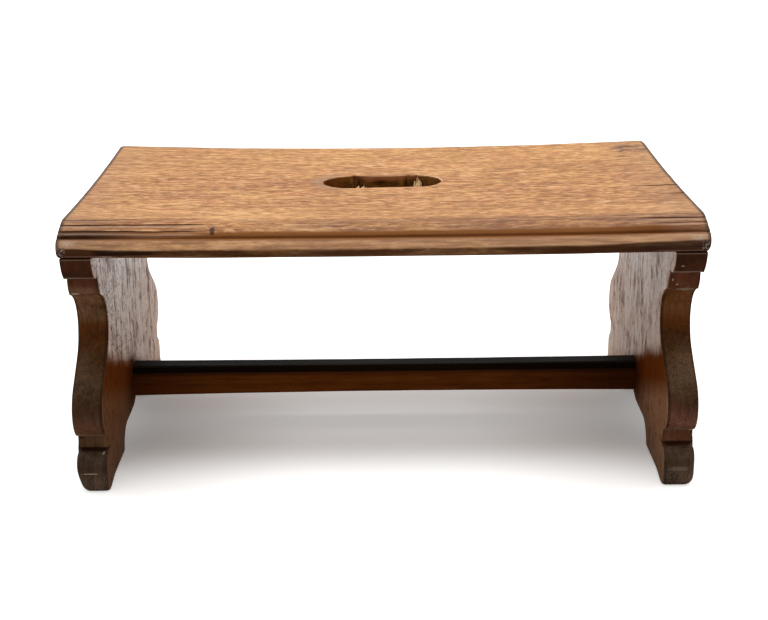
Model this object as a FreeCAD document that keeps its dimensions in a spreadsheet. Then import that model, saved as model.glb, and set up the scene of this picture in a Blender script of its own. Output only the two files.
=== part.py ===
import FreeCAD, Part
import Sketcher
import math
import os
from types import SimpleNamespace

# A shoe fitting stool: a moulded seat board with a hand slot, on two scroll-sawn board legs
# that are joined by a wedged stretcher. Millimetres, +Z up, +X along the seat's length,
# -Y towards the moulded front edge. The origin lies on the floor under the seat's centre.

SIZES = {
    # Seat board: its blank, and the moulding along its front edge
    "seat_length": 457.2,
    "seat_depth": 285.75,
    "seat_thickness": 22.3,
    "bead_radius": 5.9,
    "quirk_setback": 9.9,
    "shoulder_edge_height": 13.0,
    "shoulder_width": 24.0,
    # Wear of the seat's top, before its front, at its middle and behind its back: the height
    # left at the two ends, and how far the middle is hollow below them
    "front_end_height": 23.5,
    "middle_end_height": 19.8,
    "back_end_height": 22.5,
    "front_hollow": 3.0,
    "middle_hollow": 3.6,
    "back_hollow": 4.6,
    # Rounded arrises of the seat board
    "back_corner_round": 4.0,
    "back_edge_round": 2.0,
    # Hand slot: two bored holes joined by saw cuts just inside them
    "slot_bore_radius": 21.0,
    "slot_bore_spacing": 49.6,
    "slot_saw_inset": 0.7,
    # Legs: the board, and its places under the seat
    "leg_height": 180.7,
    "leg_depth": 283.0,
    "leg_thickness": 22.3,
    "leg_end_inset": 1.7,
    "leg_back_inset": 0.8,
    # Half depths of the leg's outline, from its centre line
    "cap_foot_half": 131.2,
    "fascia_top_half": 122.3,
    "fascia_foot_half": 114.6,
    "waist_half": 94.3,
    "foot_half": 138.4,
    "neck_inset": 13.0,
    "belly_outset": 1.8,
    # Heights of the leg's outline, from the floor
    "cap_foot_height": 163.0,
    "waist_height": 119.8,
    "belly_height": 59.8,
    "neck_foot_height": 30.6,
    "foot_shoulder_height": 19.4,
    # Radii of the leg's outline
    "cap_radius": 26.0,
    "fascia_radius": 34.0,
    "waist_radius": 27.0,
    "belly_radius": 24.0,
    "belly_under_radius": 20.0,
    "foot_toe_radius": 5.0,
    "foot_arris_round": 4.5,
    # Keel arch between the feet
    "arch_half_width": 67.0,
    "arch_height": 20.0,
    "arch_peak_height": 25.0,
    "keel_half_width": 20.0,
    # Tongue on the leg's top, let into a stopped housing in the seat
    "tongue_height": 5.0,
    "tongue_half_length": 112.0,
    # Stretcher and its wedged through tenons
    "stretcher_depth": 22.2,
    "stretcher_height": 22.6,
    "stretcher_lift": 28.0,
    "stretcher_chamfer": 4.2,
    "tenon_depth": 15.0,
    "tenon_height": 12.0,
    "wedge_length": 15.0,
    "wedge_thickness": 2.4,
    "wedge_tip": 0.6,
    # Cleats under the seat, and their countersunk screws
    "cleat_length": 110.0,
    "cleat_side": 18.0,
    "cleat_chamfer": 4.0,
    "screw_length": 25.4,
    "screw_radius": 1.75,
    "screw_head_radius": 3.4,
    "screw_slot_width": 0.9,
    "screw_slot_depth": 0.9,
    "screw_tip_length": 3.0,
    "up_screw_place": 40.0,
    "side_screw_place": 22.0,
    # Clearances, and the overrun of every cut
    "joint_clearance": 0.1,
    "overrun": 10.0,
}

FULL_TURN = 360.0
RIGHT_ANGLE = 90.0
# The share of a body that a cut must take away to count, and how near a picked edge must lie
LEAST_CUT_SHARE = 0.000001
NEAR_SHARE = 0.01


class Size:
    """A number and the spreadsheet expression that gives it."""

    def __init__(self, value, text):
        self.value = value
        self.text = text

    def __add__(self, other):
        other = as_size(other)
        return Size(self.value + other.value, "(%s + %s)" % (self.text, other.text))

    def __sub__(self, other):
        other = as_size(other)
        return Size(self.value - other.value, "(%s - %s)" % (self.text, other.text))

    def __mul__(self, other):
        other = as_size(other)
        return Size(self.value * other.value, "(%s * %s)" % (self.text, other.text))

    def __truediv__(self, other):
        other = as_size(other)
        return Size(self.value / other.value, "(%s / %s)" % (self.text, other.text))

    def __neg__(self):
        return Size(-self.value, "(-1 * %s)" % self.text)


def as_size(item):
    """Give a plain number the same form as a size."""
    if isinstance(item, Size):
        return item
    return Size(float(item), "%r" % float(item))


def root(item):
    """Square root of a size."""
    return Size(math.sqrt(item.value), "sqrt(%s)" % item.text)


ZERO = as_size(0)


def make_sheet(doc):
    """Write the driving dimensions into a spreadsheet and return them by name."""
    sheet = doc.addObject("Spreadsheet::Sheet", "Sizes")
    named = {}
    for row, (alias, value) in enumerate(SIZES.items(), start=1):
        sheet.set("A%d" % row, alias)
        sheet.set("B%d" % row, str(value))
        sheet.setAlias("B%d" % row, alias)
        named[alias] = Size(value, "Sizes.%s" % alias)
    doc.recompute()
    return SimpleNamespace(**named)


def origin_plane(body, role):
    """Find one of the body's own origin planes."""
    return [item for item in body.Origin.OriginFeatures if item.Role == role][0]


class Outline:
    """A closed outline in a sketch, from straight lines and arcs through bound points."""

    def __init__(self, body, name, role, offset=None):
        self.sketch = body.newObject("Sketcher::SketchObject", name)
        self.sketch.AttachmentSupport = [(origin_plane(body, role), "")]
        self.sketch.MapMode = "FlatFace"
        if offset is not None:
            self.sketch.setExpression("AttachmentOffset.Base.z", offset.text)

    def begin(self, x, y):
        """Start a run of lines and arcs at a bound point."""
        self.start = (x, y)
        self.here = self.start
        self.first = None
        self.last = None
        return self

    def line_to(self, x, y):
        """Add a straight line from the last point."""
        begin = FreeCAD.Vector(self.here[0].value, self.here[1].value, 0)
        end = FreeCAD.Vector(x.value, y.value, 0)
        index = self.sketch.addGeometry(Part.LineSegment(begin, end), False)
        self.join((index, 1), (index, 2), (x, y))
        return self

    def arc_to(self, x, y, radius, turn):
        """Add an arc of under a half circle: turn is 1 to the left and -1 to the right."""
        x0, y0 = self.here[0].value, self.here[1].value
        dx, dy = x.value - x0, y.value - y0
        chord = math.hypot(dx, dy)
        rise = math.sqrt(max(radius.value ** 2 - chord ** 2 / 4, 0))
        cx = x0 + dx / 2 - turn * rise * dy / chord
        cy = y0 + dy / 2 + turn * rise * dx / chord
        begin = math.atan2(y0 - cy, x0 - cx)
        end = math.atan2(y.value - cy, x.value - cx)
        if turn < 0:
            begin, end = end, begin
        circle = Part.Circle(FreeCAD.Vector(cx, cy, 0), FreeCAD.Vector(0, 0, 1), radius.value)
        index = self.sketch.addGeometry(Part.ArcOfCircle(circle, begin, end), False)
        places = ((index, 1), (index, 2))
        if turn < 0:
            places = ((index, 2), (index, 1))
        self.join(places[0], places[1], (x, y))
        self.bind("Radius", (index,), radius)
        return self

    def join(self, begin, end, point):
        """Tie a segment's start to the one before, and its end to a bound point."""
        if self.last is None:
            self.first = begin
            self.pin(begin, self.start)
        else:
            self.sketch.addConstraint(Sketcher.Constraint("Coincident", *self.last, *begin))
        if point[0] is self.start[0] and point[1] is self.start[1]:
            self.sketch.addConstraint(Sketcher.Constraint("Coincident", *end, *self.first))
        else:
            self.pin(end, point)
        self.last = end
        self.here = point

    def pin(self, place, point):
        """Hold one point of the sketch at bound coordinates."""
        for kind, axis, size in (("DistanceX", -2, point[0]), ("DistanceY", -1, point[1])):
            if size is ZERO:
                self.sketch.addConstraint(Sketcher.Constraint("PointOnObject", *place, axis))
            else:
                self.bind(kind, (-1, 1) + place, size)

    def bind(self, kind, places, size):
        """Add a constraint whose value comes from the spreadsheet."""
        index = self.sketch.addConstraint(Sketcher.Constraint(kind, *places, size.value))
        self.sketch.setExpression("Constraints[%d]" % index, size.text)

    def close(self):
        """Draw the last straight line back to the start."""
        return self.line_to(*self.start)

    def circle(self, x, y, radius):
        """Add a whole circle beside the outline."""
        middle = FreeCAD.Vector(x.value, y.value, 0)
        geometry = Part.Circle(middle, FreeCAD.Vector(0, 0, 1), radius.value)
        index = self.sketch.addGeometry(geometry, False)
        self.pin((index, 3), (x, y))
        self.bind("Radius", (index,), radius)
        return self

    def rectangle(self, x0, x1, y0, y1):
        """Add a whole rectangle beside the outline."""
        return self.begin(x0, y0).line_to(x1, y0).line_to(x1, y1).line_to(x0, y1).close()


def settle(body, feature):
    """Make a feature the body's tip and work it out."""
    body.Tip = feature
    body.Document.recompute()
    return feature


def pad(body, outline, length):
    """Raise an outline equally to both sides of its plane."""
    feature = body.newObject("PartDesign::Pad", outline.sketch.Name + "_pad")
    feature.Profile = (outline.sketch, [""])
    feature.SideType = "Symmetric"
    feature.setExpression("Length", length.text)
    return settle(body, feature)


def has_cut(feature, before):
    """Tell whether a feature has taken wood away from the volume before it."""
    return feature.Shape.Volume < before * (1 - LEAST_CUT_SHARE)


def pocket(body, outline, length, symmetric=False):
    """Cut an outline into the body, on the side of its plane where the wood is."""
    before = body.Shape.Volume
    feature = body.newObject("PartDesign::Pocket", outline.sketch.Name + "_pocket")
    feature.Profile = (outline.sketch, [""])
    feature.setExpression("Length", length.text)
    if symmetric:
        feature.SideType = "Symmetric"
    settle(body, feature)
    if not has_cut(feature, before):
        feature.Reversed = True
        settle(body, feature)
    if not has_cut(feature, before):
        raise RuntimeError("%s cuts nothing" % feature.Name)
    return feature


def soften(body, kind, size, wanted):
    """Round or chamfer the edges of the body's shape that a test picks."""
    base = body.Tip
    picked = ["Edge%d" % (n + 1) for n, edge in enumerate(base.Shape.Edges) if wanted(edge)]
    if not picked:
        raise RuntimeError("no edge to soften on %s" % body.Label)
    feature = body.newObject("PartDesign::" + kind, "%s_%s" % (body.Name, kind.lower()))
    feature.Base = (base, picked)
    feature.setExpression("Radius" if kind == "Fillet" else "Size", size.text)
    return settle(body, feature)


def place(item, x, y, z, turn=0):
    """Set an object's placement: bound to the sizes, and turned about the upright axis."""
    upright = FreeCAD.Vector(0, 0, 1)
    item.Placement.Rotation = FreeCAD.Rotation(upright, turn)
    for axis, size in (("x", x), ("y", y), ("z", z)):
        item.setExpression("Placement.Base.%s" % axis, size.text)


def derive(d):
    """Work out the places that several pieces share."""
    d.leg_outer_face = d.seat_length / 2 - d.leg_end_inset
    d.leg_inner_face = d.leg_outer_face - d.leg_thickness
    d.leg_middle = d.leg_outer_face - d.leg_thickness / 2
    d.leg_centre_y = d.seat_depth / 2 - d.leg_back_inset - d.leg_depth / 2
    d.tenon_centre = d.stretcher_lift + d.stretcher_height / 2
    d.hole_radius = d.screw_radius + d.joint_clearance
    d.screw_bite = d.screw_length - d.cleat_side + d.joint_clearance
    return d


def leg_outline(body, d):
    """Draw the front half of the scroll-sawn outline, from the keel's peak round to the top."""
    belly_half = d.foot_half + d.belly_outset
    under_centre = belly_half - d.belly_under_radius
    belly_centre = belly_half - d.belly_radius
    waist_centre = d.waist_half + d.waist_radius
    keel_rise = d.arch_peak_height - d.arch_height
    keel_radius = (d.keel_half_width * d.keel_half_width + keel_rise * keel_rise) / (keel_rise * 2)
    shoulder_radius = d.neck_foot_height - d.foot_shoulder_height
    neck_half = d.foot_half - d.neck_inset
    neck_reach = neck_half - under_centre
    neck_top = d.belly_height - root(
        d.belly_under_radius * d.belly_under_radius - neck_reach * neck_reach)
    fascia_reach = waist_centre - d.fascia_foot_half
    fascia_foot = d.waist_height + root(
        d.waist_radius * d.waist_radius - fascia_reach * fascia_reach)
    # The straight flank touches the belly's arc and the waist's arc
    across = waist_centre - belly_centre
    up = d.waist_height - d.belly_height
    reach = d.waist_radius + d.belly_radius
    spread = across * across + up * up
    flank = root(spread - reach * reach)
    normal_y = (reach * across + flank * up) / spread
    normal_z = (reach * up - flank * across) / spread
    belly_end = (-(belly_centre + d.belly_radius * normal_y),
                 d.belly_height + d.belly_radius * normal_z)
    waist_start = (-(waist_centre - d.waist_radius * normal_y),
                   d.waist_height - d.waist_radius * normal_z)
    cap_half = d.leg_depth / 2
    line = Outline(body, body.Name + "_outline", "YZ_Plane").begin(ZERO, d.arch_peak_height)
    line.arc_to(-d.keel_half_width, d.arch_height, keel_radius, -1)
    line.line_to(-(d.arch_half_width - d.arch_height), d.arch_height)
    line.arc_to(-d.arch_half_width, ZERO, d.arch_height, 1)
    line.line_to(-(d.foot_half - d.foot_toe_radius), ZERO)
    line.arc_to(-d.foot_half, d.foot_toe_radius, d.foot_toe_radius, -1)
    line.line_to(-d.foot_half, d.foot_shoulder_height)
    line.arc_to(-(d.foot_half - shoulder_radius), d.neck_foot_height, shoulder_radius, -1)
    line.line_to(-neck_half, d.neck_foot_height)
    line.line_to(-neck_half, neck_top)
    line.arc_to(-belly_half, d.belly_height, d.belly_under_radius, -1)
    line.arc_to(belly_end[0], belly_end[1], d.belly_radius, -1)
    line.line_to(waist_start[0], waist_start[1])
    line.arc_to(-d.fascia_foot_half, fascia_foot, d.waist_radius, 1)
    line.arc_to(-d.fascia_top_half, d.cap_foot_height, d.fascia_radius, -1)
    line.line_to(-d.cap_foot_half, d.cap_foot_height)
    line.arc_to(-cap_half, d.leg_height, d.cap_radius, -1)
    line.line_to(-d.tongue_half_length, d.leg_height)
    line.line_to(-d.tongue_half_length, d.leg_height + d.tongue_height)
    line.line_to(ZERO, d.leg_height + d.tongue_height)
    return line.close()


def make_leg(doc, d, label, side):
    """One board leg: sawn outline, tongue, mortise, and holes for the cleat's screws."""
    body = doc.addObject("PartDesign::Body", label)
    blank = pad(body, leg_outline(body, d), d.leg_thickness)
    mirror = body.newObject("PartDesign::Mirrored", label + "_back_half")
    mirror.Originals = [blank]
    mirror.MirrorPlane = (origin_plane(body, "XZ_Plane"), [""])
    settle(body, mirror)
    mortise_y = d.tenon_depth / 2 + d.joint_clearance
    mortise_z = d.tenon_height / 2 + d.joint_clearance
    mortise = Outline(body, label + "_mortise", "YZ_Plane").rectangle(
        -mortise_y, mortise_y, d.tenon_centre - mortise_z, d.tenon_centre + mortise_z)
    pocket(body, mortise, d.leg_thickness + d.overrun, symmetric=True)
    holes = Outline(body, label + "_holes", "YZ_Plane", d.leg_thickness / 2)
    for place_y in (d.side_screw_place, -d.side_screw_place):
        holes.circle(place_y, d.leg_height - d.cleat_side / 2, d.hole_radius)
    pocket(body, holes, d.screw_bite)
    low = d.foot_shoulder_height.value
    far = d.arch_half_width.value
    face = d.leg_thickness.value / 2

    def foot_arris(edge):
        """Pick the edges round the foot's two faces, low down."""
        middle = edge.CenterOfMass
        on_face = all(abs(abs(v.Point.x) - face) < face * NEAR_SHARE for v in edge.Vertexes)
        return on_face and middle.z < low and abs(middle.y) > far

    soften(body, "Fillet", d.foot_arris_round, foot_arris)
    place(body, d.leg_middle * side, d.leg_centre_y, ZERO, 0 if side < 0 else FULL_TURN / 2)
    return body


def seat_outline(body, d):
    """Draw the seat's section: bead, quirk and shoulder at the front, square at the back."""
    front = -(d.seat_depth / 2)
    back = d.seat_depth / 2
    quirk = front + d.quirk_setback
    bead_reach = d.quirk_setback - d.bead_radius
    bead_end = d.bead_radius + root(d.bead_radius * d.bead_radius - bead_reach * bead_reach)
    rise = d.seat_thickness - d.shoulder_edge_height
    shoulder_radius = (d.shoulder_width * d.shoulder_width + rise * rise) / (rise * 2)
    line = Outline(body, "seat_section", "YZ_Plane").begin(front + d.bead_radius, ZERO)
    line.arc_to(front, d.bead_radius, d.bead_radius, -1)
    line.arc_to(quirk, bead_end, d.bead_radius, -1)
    line.line_to(quirk, d.shoulder_edge_height)
    line.arc_to(quirk + d.shoulder_width, d.seat_thickness, shoulder_radius, -1)
    line.line_to(back, d.seat_thickness)
    line.line_to(back, ZERO)
    return line.close()


def hollow_section(body, d, name, place_y, hollow, end_height):
    """Draw what is worn away over one line of the seat: an arc below, straight above."""
    half = d.seat_length / 2
    reach = half + d.overrun
    radius = (half * half + hollow * hollow) / (hollow * 2)
    start = end_height - hollow + radius - root(radius * radius - reach * reach)
    top = d.seat_thickness + d.overrun
    line = Outline(body, name, "XZ_Plane", -place_y).begin(-reach, start)
    line.arc_to(reach, start, radius, 1)
    line.line_to(reach, top)
    line.line_to(-reach, top)
    return line.close()


def wear_top(body, d):
    """Wear the seat's top hollow with a loft through three sections."""
    edge_y = d.seat_depth / 2 + d.overrun
    sections = [
        hollow_section(body, d, "front_wear", -edge_y, d.front_hollow, d.front_end_height),
        hollow_section(body, d, "middle_wear", ZERO, d.middle_hollow, d.middle_end_height),
        hollow_section(body, d, "back_wear", edge_y, d.back_hollow, d.back_end_height),
    ]
    before = body.Shape.Volume
    loft = body.newObject("PartDesign::SubtractiveLoft", "worn_top")
    loft.Profile = (sections[0].sketch, [""])
    loft.Sections = [(section.sketch, [""]) for section in sections[1:]]
    settle(body, loft)
    if not has_cut(loft, before):
        raise RuntimeError("the worn top cuts nothing")


def slot_outline(body, d):
    """Draw the hand slot: two bores, and the saw cuts that join them."""
    centre_y = (d.quirk_setback + d.shoulder_width) / 2
    half = d.slot_bore_spacing / 2
    saw = d.slot_bore_radius - d.slot_saw_inset
    corner = half - root(d.slot_bore_radius * d.slot_bore_radius - saw * saw)
    end = half + d.slot_bore_radius
    low = centre_y - saw
    high = centre_y + saw
    left = -corner
    line = Outline(body, "hand_slot", "XY_Plane").begin(left, low)
    line.line_to(corner, low)
    line.arc_to(end, centre_y, d.slot_bore_radius, 1)
    line.arc_to(corner, high, d.slot_bore_radius, 1)
    line.line_to(left, high)
    line.arc_to(-end, centre_y, d.slot_bore_radius, 1)
    line.arc_to(left, low, d.slot_bore_radius, 1)
    return line


def make_seat(doc, d):
    """The seat board, with its slot, its two housings and its screw holes."""
    body = doc.addObject("PartDesign::Body", "seat_board")
    pad(body, seat_outline(body, d), d.seat_length)
    wear_top(body, d)
    slot = slot_outline(body, d)
    pocket(body, slot, (d.seat_thickness + d.overrun) * 2, symmetric=True)
    housings = Outline(body, "leg_housings", "XY_Plane")
    holes = Outline(body, "cleat_holes", "XY_Plane")
    half_length = d.tongue_half_length + d.joint_clearance
    half_width = d.leg_thickness / 2 + d.joint_clearance
    for side in (-1, 1):
        middle = d.leg_middle * side
        housings.rectangle(middle - half_width, middle + half_width,
                           d.leg_centre_y - half_length, d.leg_centre_y + half_length)
        for place_y in (d.up_screw_place, -d.up_screw_place):
            holes.circle((d.leg_inner_face - d.cleat_side / 2) * side,
                         d.leg_centre_y + place_y, d.hole_radius)
    pocket(body, housings, d.tongue_height + d.joint_clearance)
    pocket(body, holes, d.screw_bite)
    back = d.seat_depth.value / 2
    end = d.seat_length.value / 2
    near = end * NEAR_SHARE

    def back_corner(edge):
        """Pick the upright edges at the two back corners."""
        middle = edge.CenterOfMass
        upright = edge.Vertexes[0].Point.distanceToPoint(middle) < d.seat_thickness.value
        return upright and abs(abs(middle.x) - end) < near and abs(middle.y - back) < near

    soften(body, "Fillet", d.back_corner_round, back_corner)
    half_thick = d.seat_thickness.value / 2

    def top_arris(edge):
        """Pick the top edge along the back."""
        middle = edge.CenterOfMass
        return abs(middle.y - back) < near and middle.z > half_thick

    soften(body, "Fillet", d.back_edge_round, top_arris)
    place(body, ZERO, ZERO, d.leg_height)
    return body


def make_stretcher(doc, d):
    """The stretcher: a bar with chamfered top arrises, through tenons and wedge kerfs."""
    body = doc.addObject("PartDesign::Body", "stretcher")
    half = d.stretcher_depth / 2
    chamfer = d.stretcher_chamfer
    line = Outline(body, "bar_section", "YZ_Plane").begin(-half, ZERO)
    line.line_to(-half, d.stretcher_height - chamfer)
    line.line_to(chamfer - half, d.stretcher_height)
    line.line_to(half - chamfer, d.stretcher_height)
    line.line_to(half, d.stretcher_height - chamfer)
    line.line_to(half, ZERO)
    pad(body, line.close(), d.leg_inner_face * 2)
    middle = d.stretcher_height / 2
    tenon = Outline(body, "tenon_section", "YZ_Plane").rectangle(
        -(d.tenon_depth / 2), d.tenon_depth / 2,
        middle - d.tenon_height / 2, middle + d.tenon_height / 2)
    pad(body, tenon, d.leg_outer_face * 2)
    kerfs = Outline(body, "wedge_kerfs", "XZ_Plane")
    mouth = d.leg_outer_face + d.overrun
    taper = (d.wedge_thickness - d.wedge_tip) / d.wedge_length / 2
    mouth_half = d.wedge_thickness / 2 + d.overrun * taper + d.joint_clearance
    tip_half = d.wedge_tip / 2 + d.joint_clearance
    for side in (-1, 1):
        tip = (d.leg_outer_face - d.wedge_length) * side
        kerfs.begin(tip, middle - tip_half)
        kerfs.line_to(mouth * side, middle - mouth_half)
        kerfs.line_to(mouth * side, middle + mouth_half)
        kerfs.line_to(tip, middle + tip_half)
        kerfs.close()
    pocket(body, kerfs, d.stretcher_depth + d.overrun, symmetric=True)
    place(body, ZERO, d.leg_centre_y, d.stretcher_lift)
    return body


def make_wedges(doc, d):
    """Two wedges, one driven into each tenon's end."""
    wedges = []
    for side, turn in ((-1, -RIGHT_ANGLE), (1, RIGHT_ANGLE)):
        wedge = doc.addObject("Part::Wedge", "wedge_%s" % ("left" if side < 0 else "right"))
        across = d.tenon_depth / 2
        bounds = {
            "Xmin": -across, "X2min": -across, "Xmax": across, "X2max": across,
            "Ymax": d.wedge_length, "Zmin": -(d.wedge_thickness / 2),
            "Zmax": d.wedge_thickness / 2, "Z2min": -(d.wedge_tip / 2), "Z2max": d.wedge_tip / 2,
        }
        wedge.Ymin = 0
        for name, size in bounds.items():
            wedge.setExpression(name, size.text)
        place(wedge, d.leg_outer_face * side, d.leg_centre_y, d.tenon_centre, turn)
        wedges.append(wedge)
    group = doc.addObject("Part::Compound", "tenon_wedges")
    group.Links = wedges
    doc.recompute()
    return group


def make_cleat(doc, d, label, side):
    """A cleat in the corner under the seat, with countersunk screw holes two ways."""
    body = doc.addObject("PartDesign::Body", label)
    line = Outline(body, label + "_section", "XZ_Plane").begin(ZERO, ZERO)
    line.line_to(d.cleat_side, ZERO)
    line.line_to(d.cleat_side, d.cleat_chamfer - d.cleat_side)
    line.line_to(d.cleat_side - d.cleat_chamfer, -d.cleat_side)
    line.line_to(ZERO, -d.cleat_side)
    pad(body, line.close(), d.cleat_length)
    upright = Outline(body, label + "_up_holes", "XY_Plane")
    level = Outline(body, label + "_side_holes", "YZ_Plane")
    for sign in (-1, 1):
        upright.circle(d.cleat_side / 2, d.up_screw_place * sign, d.hole_radius)
        level.circle(d.side_screw_place * sign, -(d.cleat_side / 2), d.hole_radius)
    pocket(body, upright, d.cleat_side + d.overrun)
    pocket(body, level, d.cleat_side + d.overrun)
    far = d.cleat_side.value
    near = d.joint_clearance.value

    def mouth(edge):
        """Pick the round edges where the screws' heads go in."""
        middle = edge.CenterOfMass
        round_edge = isinstance(edge.Curve, Part.Circle)
        return round_edge and (abs(middle.z + far) < near or abs(middle.x - far) < near)

    soften(body, "Chamfer", d.screw_head_radius - d.screw_radius, mouth)
    place(body, d.leg_inner_face * side, d.leg_centre_y, d.leg_height,
          0 if side < 0 else FULL_TURN / 2)
    return body


def make_screw(doc, d):
    """One slotted countersunk screw, its head at the origin and its point upward."""
    body = doc.addObject("PartDesign::Body", "one_screw")
    sink = d.screw_head_radius - d.screw_radius
    line = Outline(body, "screw_section", "XZ_Plane").begin(ZERO, ZERO)
    line.line_to(d.screw_head_radius, ZERO)
    line.line_to(d.screw_radius, sink)
    line.line_to(d.screw_radius, d.screw_length - d.screw_tip_length)
    line.line_to(ZERO, d.screw_length)
    line.close()
    turn = body.newObject("PartDesign::Revolution", "screw_turned")
    turn.Profile = (line.sketch, [""])
    turn.ReferenceAxis = (line.sketch, ["V_Axis"])
    turn.Angle = FULL_TURN
    settle(body, turn)
    half = d.screw_slot_width / 2
    slot = Outline(body, "screw_slot", "YZ_Plane").rectangle(
        -half, half, ZERO, d.screw_slot_depth)
    pocket(body, slot, d.screw_head_radius * 4, symmetric=True)
    return body


def make_screws(doc, d):
    """Eight screws: in each cleat two go up into the seat and two sideways into the leg."""
    screw = make_screw(doc, d).Shape
    under = d.leg_height.value - d.cleat_side.value
    level = d.leg_height.value - d.cleat_side.value / 2
    upright = FreeCAD.Rotation()
    solids = []
    for side in (-1, 1):
        inner = d.leg_inner_face.value - d.cleat_side.value
        middle = d.leg_inner_face.value - d.cleat_side.value / 2
        sideways = FreeCAD.Rotation(FreeCAD.Vector(0, 1, 0), RIGHT_ANGLE * side)
        for sign in (-1, 1):
            up_y = d.leg_centre_y.value + d.up_screw_place.value * sign
            side_y = d.leg_centre_y.value + d.side_screw_place.value * sign
            for at, turn in (((middle * side, up_y, under), upright),
                             ((inner * side, side_y, level), sideways)):
                solid = screw.copy()
                solid.Placement = FreeCAD.Placement(FreeCAD.Vector(*at), turn)
                solids.append(solid)
    group = doc.addObject("Part::Feature", "cleat_screws")
    group.Shape = Part.makeCompound(solids)
    return group


def check(doc, nodes):
    """Stop if any object has failed or any sub-part has no sound shape."""
    doc.recompute()
    for item in doc.Objects:
        if "Invalid" in item.State or "Error" in item.State:
            raise RuntimeError("%s is %s" % (item.Name, item.State))
    for node in nodes:
        if node.Shape.isNull() or not node.Shape.isValid():
            raise RuntimeError("%s has no sound shape" % node.Label)


def main():
    doc = FreeCAD.newDocument("shoe_fitting_stool")
    d = derive(make_sheet(doc))
    nodes = [make_seat(doc, d)]
    for word, side in (("left", -1), ("right", 1)):
        nodes.append(make_leg(doc, d, "%s_leg" % word, side))
        nodes.append(make_cleat(doc, d, "%s_cleat" % word, side))
    nodes += [make_stretcher(doc, d), make_wedges(doc, d), make_screws(doc, d)]
    check(doc, nodes)
    os.makedirs("parts", exist_ok=True)
    for node in nodes:
        box = node.Shape.optimalBoundingBox(False, False)
        print("%-13s %2d solids %9.0f mm3  x %7.1f %7.1f  y %7.1f %7.1f  z %6.1f %6.1f" % (
            node.Label, len(node.Shape.Solids), node.Shape.Volume,
            box.XMin, box.XMax, box.YMin, box.YMax, box.ZMin, box.ZMax))
        node.Shape.exportStep("parts/%s.step" % node.Label)


main()
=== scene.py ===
import math

import bmesh
import bpy
from mathutils import Matrix, Vector, noise


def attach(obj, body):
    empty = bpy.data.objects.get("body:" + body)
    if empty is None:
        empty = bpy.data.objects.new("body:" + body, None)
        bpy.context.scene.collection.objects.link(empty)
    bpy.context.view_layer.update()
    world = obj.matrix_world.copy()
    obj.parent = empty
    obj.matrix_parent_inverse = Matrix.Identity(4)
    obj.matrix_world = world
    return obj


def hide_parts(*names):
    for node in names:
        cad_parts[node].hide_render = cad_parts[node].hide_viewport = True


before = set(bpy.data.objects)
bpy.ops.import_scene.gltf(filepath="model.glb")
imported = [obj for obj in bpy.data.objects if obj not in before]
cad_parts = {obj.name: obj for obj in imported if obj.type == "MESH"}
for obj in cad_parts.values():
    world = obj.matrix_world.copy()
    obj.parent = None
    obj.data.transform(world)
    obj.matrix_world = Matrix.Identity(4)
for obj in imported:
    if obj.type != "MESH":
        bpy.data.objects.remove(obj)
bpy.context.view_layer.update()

MM = 0.001

# Places on the stool, in millimetres, that several pieces and finishes share
SEAT_UNDERSIDE = 180.7
SEAT_THICK = 22.3
SEAT_HALF_LENGTH = 228.6
SEAT_HALF_DEPTH = 142.875
BEAD_RADIUS = 5.9
QUIRK_EDGE = 13.0
SHOULDER_BACK = -108.975
TOP_FRONT = SHOULDER_BACK + 4
LEG_INNER_FACE = 204.6
LEG_OUTER_FACE = 226.9
LEG_MIDDLE = 0.575
STRETCHER_TOP = 50.6
STRETCHER_FOOT = 28.0
# Heights on the fronts of the legs: the dark line above the foot, the pale line over the neck,
# which is a painted highlight, the cap's lower edge, and the ledge just under the seat
CREVICE = 30.7
LIP = 42.5
CAP_EDGE = 164.0
LEDGE = 180.0
# The two bores of the hand slot: their centres' x and y, and their radius
LEFT_BORE = (-26.2, 17.0, 21.2)
RIGHT_BORE = (26.2, 19.2, 20.6)
# Points closer than this lie on the same face
CLOSE = 0.05


def smooth_step(value, low, high):
    """Rise softly from 0 at low to 1 at high."""
    t = min(max((value - low) / (high - low), 0.0), 1.0)
    return t * t * (3 - 2 * t)


def soft_least(a, b, width):
    """The lesser of two numbers, rounded over where they meet."""
    t = max(width - abs(a - b), 0.0) / width
    return min(a, b) - t * t * width / 4


def ripple(x, y, z, size):
    """Smooth noise from -1 to 1, with features about size millimetres long."""
    return noise.noise(Vector((x / size, y / size, z / size)))


# Shapes


def put(name, data):
    """Put a new object with some data into the scene."""
    item = bpy.data.objects.new(name, data)
    bpy.context.scene.collection.objects.link(item)
    return item


def settle(mesh, name):
    """Turn a bmesh into plain mesh data, and free it."""
    data = bpy.data.meshes.new(name)
    mesh.to_mesh(data)
    mesh.free()
    return data


def only_verts(items):
    """The vertices among the things that an operator made."""
    return [item for item in items if isinstance(item, bmesh.types.BMVert)]


def thicken(mesh, way):
    """Extrude a flat bmesh into a closed solid along a way, in millimetres."""
    made = bmesh.ops.extrude_face_region(mesh, geom=mesh.faces[:])["geom"]
    bmesh.ops.translate(mesh, verts=only_verts(made), vec=Vector(way) * MM)
    bmesh.ops.recalc_face_normals(mesh, faces=mesh.faces)


def length_along(edge):
    """How far an edge reaches along the stool, in millimetres."""
    return abs(edge.verts[0].co.x - edge.verts[1].co.x) / MM


def pick_edges(mesh, test):
    """The edges whose middle passes a test, in millimetres."""
    picked = []
    for edge in mesh.edges:
        middle = (edge.verts[0].co + edge.verts[1].co) / (2 * MM)
        if test(edge, middle):
            picked.append(edge)
    return picked


def is_crease(edge, degrees=28):
    """Whether the faces on the two sides of an edge meet at an angle."""
    return len(edge.link_faces) == 2 and edge.calc_face_angle(0) > math.radians(degrees)


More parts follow.
